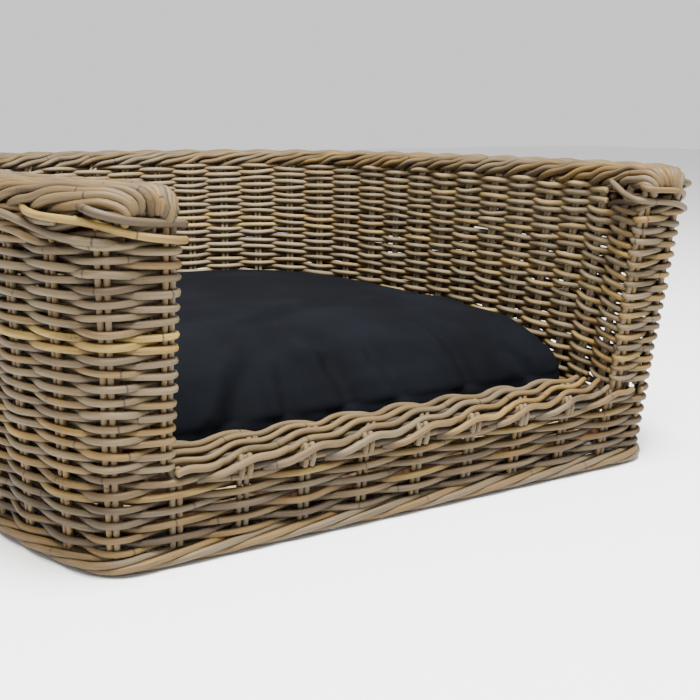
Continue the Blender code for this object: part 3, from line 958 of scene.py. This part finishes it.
def rattanMaterial(name, brightness):
    made, wire = newMaterial(name)
    tone = wire.node("ShaderNodeAttribute", {"attribute_name": "tone"}, out=2)
    grain = wire.node("ShaderNodeAttribute", {"attribute_name": "grain"}, out=1)
    cut = wire.node("ShaderNodeAttribute", {"attribute_name": "cut"}, out=2)
    deep = wire.node("ShaderNodeAttribute", {"attribute_name": "deep"}, out=2)
    along = wire.node("ShaderNodeSeparateXYZ", None, {0: grain})
    streaks = grain.stretched((28.0, 900.0, 900.0)).noise(1.0, 3.0, 0.6)
    blotches = grain.stretched((14.0, 110.0, 110.0)).noise(1.0, 2.0, 0.55)
    specks = grain.stretched((420.0, 620.0, 620.0)).noise(1.0, 2.0, 0.6)
    shifted = tone + (blotches - 0.5) * 0.55
    base = wire.node("ShaderNodeValToRGB", {"stops": rattan["palette"]}, {0: shifted})
    streaked = wire.mix((streaks.between(0.35, 0.72)) * 0.50, base, opaque(rattan["bark"]))
    barkPatch = grain.stretched((7.0, 40.0, 40.0)).noise(1.0, 2.0, 0.5).between(0.60, 0.70)
    patchy = barkPatch * (0.35 + 0.5 * specks.between(0.40, 0.60))
    barked = wire.mix(patchy, streaked, opaque(rattan["bark"]))
    fraction = wire.maths("FRACT", along / rattan["jointEvery"])
    ring = 1 - wire.maths("ABSOLUTE", fraction - 0.5).between(0.0015, 0.0055)
    ringed = wire.mix(ring * 0.7, barked, opaque(rattan["dirtAndShade"]))
    darkSpecks = specks.between(0.66, 0.74) * blotches.between(0.48, 0.60)
    specked = wire.mix(darkSpecks * 0.6, ringed, opaque(rattan["dirtAndShade"]))
    ended = wire.mix(cut * 0.7, specked, opaque(rattan["cut"]))
    # painted light: where the shading attribute is below 0 the colour turns paler
    paintedLit = wire.mix(wire.maths("MAXIMUM", deep * -1.0, 0.0), ended, opaque(rattan["pale"]))
    # painted shade: the deeper in the weave, the darker the colour
    paintedShaded = wire.mix(wire.maths("MAXIMUM", deep * 0.72, 0.0), paintedLit, opaque(rattan["dirtAndShade"]))
    tint = [part * brightness for part in rattan["tint"]]
    scaled = wire.mix(1.0, paintedShaded, opaque(tint), "MULTIPLY")
    height = streaks * 0.5 + specks * 0.25 + ring * 0.6
    bump = wire.node("ShaderNodeBump", None, {"Strength": 0.45, "Distance": 0.0007, "Height": height})
    finishMaterial(wire, {"Base Color": scaled, "Roughness": 0.50 + streaks * 0.22 + barkPatch * 0.12,
                          "Normal": bump, "Specular IOR Level": 0.28})
    return made


wood = {
    "light": srgb(126, 84, 52),
    "dark": srgb(70, 40, 24),
    "slatLight": srgb(168, 140, 104),
    "slatDark": srgb(116, 90, 62),
}


def woodMaterial(name, light, dark, axis):
    # bare wood with its grain along one axis
    made, wire = newMaterial(name)
    place = wire.node("ShaderNodeTexCoord", out=3)
    stretch = [160.0, 160.0, 160.0]
    stretch[axis] = 6.0
    lines = place.stretched(tuple(stretch)).noise(1.0, 4.0, 0.6)
    patches = place.stretched((14.0, 14.0, 14.0)).noise(1.0, 2.0, 0.5)
    colour = wire.mix(lines.between(0.30, 0.70), opaque(dark), opaque(light))
    patchy = wire.mix(patches.between(0.45, 0.75) * 0.4, colour, opaque(dark))
    bump = wire.node("ShaderNodeBump", None, {"Strength": 0.3, "Distance": 0.0008, "Height": lines})
    finishMaterial(wire, {"Base Color": patchy, "Roughness": 0.55 + lines * 0.2, "Normal": bump})
    return made


fabric = {
    "dark": (0.0010, 0.0012, 0.0018),
    "light": (0.0026, 0.0031, 0.0045),
    "thread": (0.010, 0.012, 0.017),
    "lint": (0.10, 0.10, 0.11),
    "threadsPerMetre": 1900.0,
}


def fabricMaterial(name):
    # fine dark twill with faint cloudiness and a soft nap
    made, wire = newMaterial(name)
    place = wire.node("ShaderNodeTexCoord", out=3)
    part = [wire.node("ShaderNodeSeparateXYZ", None, {0: place}, out=i) for i in range(3)]
    diagonal = part[0] + part[1] + part[2]
    twill = wire.maths("SINE", diagonal * fabric["threadsPerMetre"] * 2)
    threads = wire.maths("SINE", (part[0] - part[1]) * fabric["threadsPerMetre"])
    weaveHeight = twill * 0.6 + threads * 0.4
    cloud = place.stretched((9.0, 9.0, 9.0)).noise(1.0, 3.0, 0.6)
    lint = place.stretched((900.0, 900.0, 900.0)).noise(1.0, 1.0, 0.5).between(0.72, 0.80)
    colour = wire.mix(cloud.between(0.30, 0.75), opaque(fabric["dark"]), opaque(fabric["light"]))
    woven = wire.mix(weaveHeight * 0.05 + 0.05, colour, opaque(fabric["thread"]))
    dusted = wire.mix(lint * 0.02, woven, opaque(fabric["lint"]))
    bump = wire.node("ShaderNodeBump", None, {"Strength": 0.25, "Distance": 0.0004, "Height": weaveHeight})
    finishMaterial(wire, {"Base Color": dusted, "Roughness": 0.82 + cloud * 0.12, "Normal": bump,
                          "Specular IOR Level": 0.05})
    return made


# ---------- cushion ----------
cushionCover = {
    "voxel": 0.008,
    "pressure": 4.0,
    "frames": 20,
    "cap": 0.024,               # the furthest that a point may swell
    "start": (0.975, 0.975, 0.92),
    "seamAt": 0.42,             # height of the seam, as a share of the cushion's
    "seamDepth": 0.0016,
    "seamWidth": 0.0035,
    "creaseDepth": 1.7,         # all creases are made this much deeper
    # each crease: start x and y, heading in degrees from +X, length, width and depth in metres
    "creases": [(-0.27, -0.36, 62, 0.17, 0.012, 0.0060), (-0.19, -0.37, 38, 0.24, 0.014, 0.0065),
                (-0.10, -0.38, 74, 0.13, 0.010, 0.0050), (-0.01, -0.38, 96, 0.20, 0.013, 0.0065),
                (0.07, -0.38, 108, 0.15, 0.011, 0.0055), (0.15, -0.37, 98, 0.22, 0.013, 0.0060),
                (0.24, -0.35, 128, 0.15, 0.011, 0.0050), (-0.29, -0.20, 12, 0.20, 0.015, 0.0060),
                (-0.28, 0.02, -8, 0.16, 0.013, 0.0045), (0.28, -0.12, 172, 0.17, 0.013, 0.0050),
                (-0.06, -0.20, 20, 0.26, 0.016, 0.0045)],
}


def pointsOf(mesh):
    values = np.empty(len(mesh.vertices) * 3, np.float32)
    mesh.vertices.foreach_get("co", values)
    return values.reshape(-1, 3).astype(float)


def setPoints(mesh, points):
    mesh.vertices.foreach_set("co", points.astype(np.float32).ravel())
    mesh.update()


def applyModifier(piece, kind, settings):
    made = piece.modifiers.new(kind.lower(), kind)
    for label, value in settings.items():
        setattr(made, label, value)
    bpy.context.view_layer.objects.active = piece
    bpy.ops.object.modifier_apply(modifier=made.name)


def swell(piece):
    # blows the cover up like a filled pad, no point further than the cap
    scene = bpy.context.scene
    before = pointsOf(piece.data)
    cloth = piece.modifiers.new("swell", "CLOTH")
    cloth.settings.use_pressure = True
    cloth.settings.uniform_pressure_force = cushionCover["pressure"]
    cloth.settings.effector_weights.gravity = 0.0
    for number in range(1, cushionCover["frames"] + 1):
        scene.frame_set(number)
    after = pointsOf(piece.evaluated_get(bpy.context.evaluated_depsgraph_get()).data)
    piece.modifiers.remove(cloth)
    scene.frame_set(1)
    move = after - before
    size = np.maximum(np.linalg.norm(move, axis=1), 1e-9)
    setPoints(piece.data, before + move * np.minimum(1, cushionCover["cap"] / size)[:, None])
    print(f"cushion swollen, furthest {size.max() * 1000:.0f} mm")


def fitInside(points, low, high):
    # stretches the points to fill a box
    now = points.min(axis=0), points.max(axis=0)
    return low + (points - now[0]) * (high - low) / (now[1] - now[0])


def creased(points, normals):
    # soft folds drawn in from the cushion's edges, each with a low ridge beside it
    push = np.zeros(len(points))
    upward = np.clip(normals[:, 2] * 2.5 + 0.4, 0, 1)
    for x, y, heading, length, width, depth in cushionCover["creases"]:
        turn = math.radians(heading)
        along = (points[:, 0] - x) * math.cos(turn) + (points[:, 1] - y) * math.sin(turn)
        across = -(points[:, 0] - x) * math.sin(turn) + (points[:, 1] - y) * math.cos(turn)
        across = across - 0.010 * np.sin(along / length * 3.4)
        share = np.clip(along / length, -0.3, 1)
        fade = np.where(share > 0, (1 - share) ** 0.8, np.clip(1 + share / 0.3, 0, 1))
        wide = width * (0.7 + 0.8 * np.clip(share, 0, 1))
        fold = -np.exp(-(across / wide) ** 2) + 0.55 * np.exp(-((across - 2.0 * wide) / wide) ** 2)
        push += cushionCover["creaseDepth"] * depth * fade * fold * upward
    return points + normals * push[:, None]


def makeCushion():
    low, high = (np.array(corner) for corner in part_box("cushion"))
    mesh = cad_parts["cushion"].data.copy()
    mesh.name = "cushion_cover"
    mesh.materials.clear()
    piece = bpy.data.objects.new("cushion_cover", mesh)
    bpy.context.scene.collection.objects.link(piece)
    piece.select_set(True)
    still = np.array([(low[0] + high[0]) / 2, (low[1] + high[1]) / 2, low[2]])
    setPoints(mesh, still + (pointsOf(mesh) - still) * np.array(cushionCover["start"]))
    applyModifier(piece, "REMESH", {"mode": "VOXEL", "voxel_size": cushionCover["voxel"]})
    swell(piece)
    applyModifier(piece, "SUBSURF", {"levels": 1, "render_levels": 1})
    mesh = piece.data
    points = fitInside(pointsOf(mesh), low, high)
    setPoints(mesh, points)
    normals = np.array([vertex.normal for vertex in mesh.vertices])
    points = creased(points, normals)
    overSeam = points[:, 2] - low[2] - cushionCover["seamAt"] * (high[2] - low[2])
    seam = cushionCover["seamDepth"] * np.exp(-(overSeam / cushionCover["seamWidth"]) ** 2)
    points -= normals * (seam * (1 - np.abs(normals[:, 2])))[:, None]
    setPoints(mesh, np.clip(points, low, high))
    mesh.shade_smooth()
    print(f"cushion_cover: {len(mesh.polygons)} faces")
    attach(piece, "cushion")
    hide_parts("cushion")
    piece.data.materials.append(fabricMaterial("navy_twill"))
    return piece


# ---------- everything ----------
def dressFrame():
    pole = woodMaterial("pole_wood", wood["light"], wood["dark"], 2)
    slat = woodMaterial("slat_wood", wood["slatLight"], wood["slatDark"], 0)
    deck = woodMaterial("deck_wood", wood["slatLight"], wood["slatDark"], 1)
    for name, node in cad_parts.items():
        if name.endswith("_post") or name in ("back_post", "base_ring", "top_rail", "sill_rail"):
            use = pole
        elif name.startswith("base_bar"):
            use = slat
        elif name == "base_deck":
            use = deck
        else:
            continue
        node.data.materials.clear()
        node.data.materials.append(use)


view = {
    "place": (-0.612, -1.286, 0.397),
    "heading": 31.82,           # degrees turned from +Y towards +X
    "down": 12.11,
    "lens": 54.86,
}


# where each lamp stands, its size, its power and its colour
lamps = {
    "key": ((-1.2, -1.8, 3.0), 0.7, 150.0, (1.0, 0.95, 0.87)),
    "fill": ((2.2, -1.6, 1.6), 2.0, 10.0, (1.0, 1.0, 1.0)),
    "top": ((-0.1, -1.1, 3.2), 0.9, 470.0, (0.97, 0.98, 1.0)),
}


def makeStudio():
    floorMesh = bpy.data.meshes.new("floor")
    corners = [(x, y, -0.0005) for x, y in ((-12, -12), (12, -12), (12, 12), (-12, 12))]
    floorMesh.from_pydata(corners, [], [(0, 1, 2, 3)])
    floor = bpy.data.objects.new("floor", floorMesh)
    bpy.context.scene.collection.objects.link(floor)
    made, wire = newMaterial("pale_floor")
    finishMaterial(wire, {"Base Color": (0.82, 0.82, 0.82, 1.0), "Roughness": 0.6})
    floorMesh.materials.append(made)

    world = bpy.data.worlds.new("studio")
    world.use_nodes = True
    world.node_tree.nodes["Background"].inputs["Color"].default_value = (1.0, 1.0, 1.0, 1.0)
    world.node_tree.nodes["Background"].inputs["Strength"].default_value = 1.0
    bpy.context.scene.world = world
    for name, (place, size, power, colour) in lamps.items():
        light = bpy.data.lights.new(name, "AREA")
        light.energy = power
        light.color = colour
        light.size = size
        lamp = bpy.data.objects.new(name, light)
        lamp.location = place
        lamp.rotation_euler = (Vector((0, 0, 0.1)) - Vector(place)).to_track_quat("-Z", "Y").to_euler()
        bpy.context.scene.collection.objects.link(lamp)

    camera = bpy.data.cameras.new("camera")
    camera.lens = view["lens"]
    eye = bpy.data.objects.new("camera", camera)
    eye.location = view["place"]
    eye.rotation_euler = (math.radians(90 - view["down"]), 0.0, -math.radians(view["heading"]))
    bpy.context.scene.collection.objects.link(eye)
    bpy.context.scene.camera = eye


makeStudio()
woven = rattanMaterial("weathered_rattan", 1.0)
# painted shade: a darker copy of the rattan for all borders, standing in for the shade on the sill's face
border = rattanMaterial("border_rattan", 0.80)
# painted shade: a darker copy of the rattan for the low outer weavers and the sill's stakes, which stand in
# shade
lowShadedRattan = rattanMaterial("low_rattan_painted_shade", 0.66)
for piece in makeWeave() + makeStakes():
    piece.data.materials.append(lowShadedRattan if piece.name in ("outer_weavers_low", "sill_stakes") else woven)
for piece in (makeRimBorder(), makeSillBorder(), makeFootBorder()):
    piece.data.materials.append(border)
dressFrame()
makeCushion()
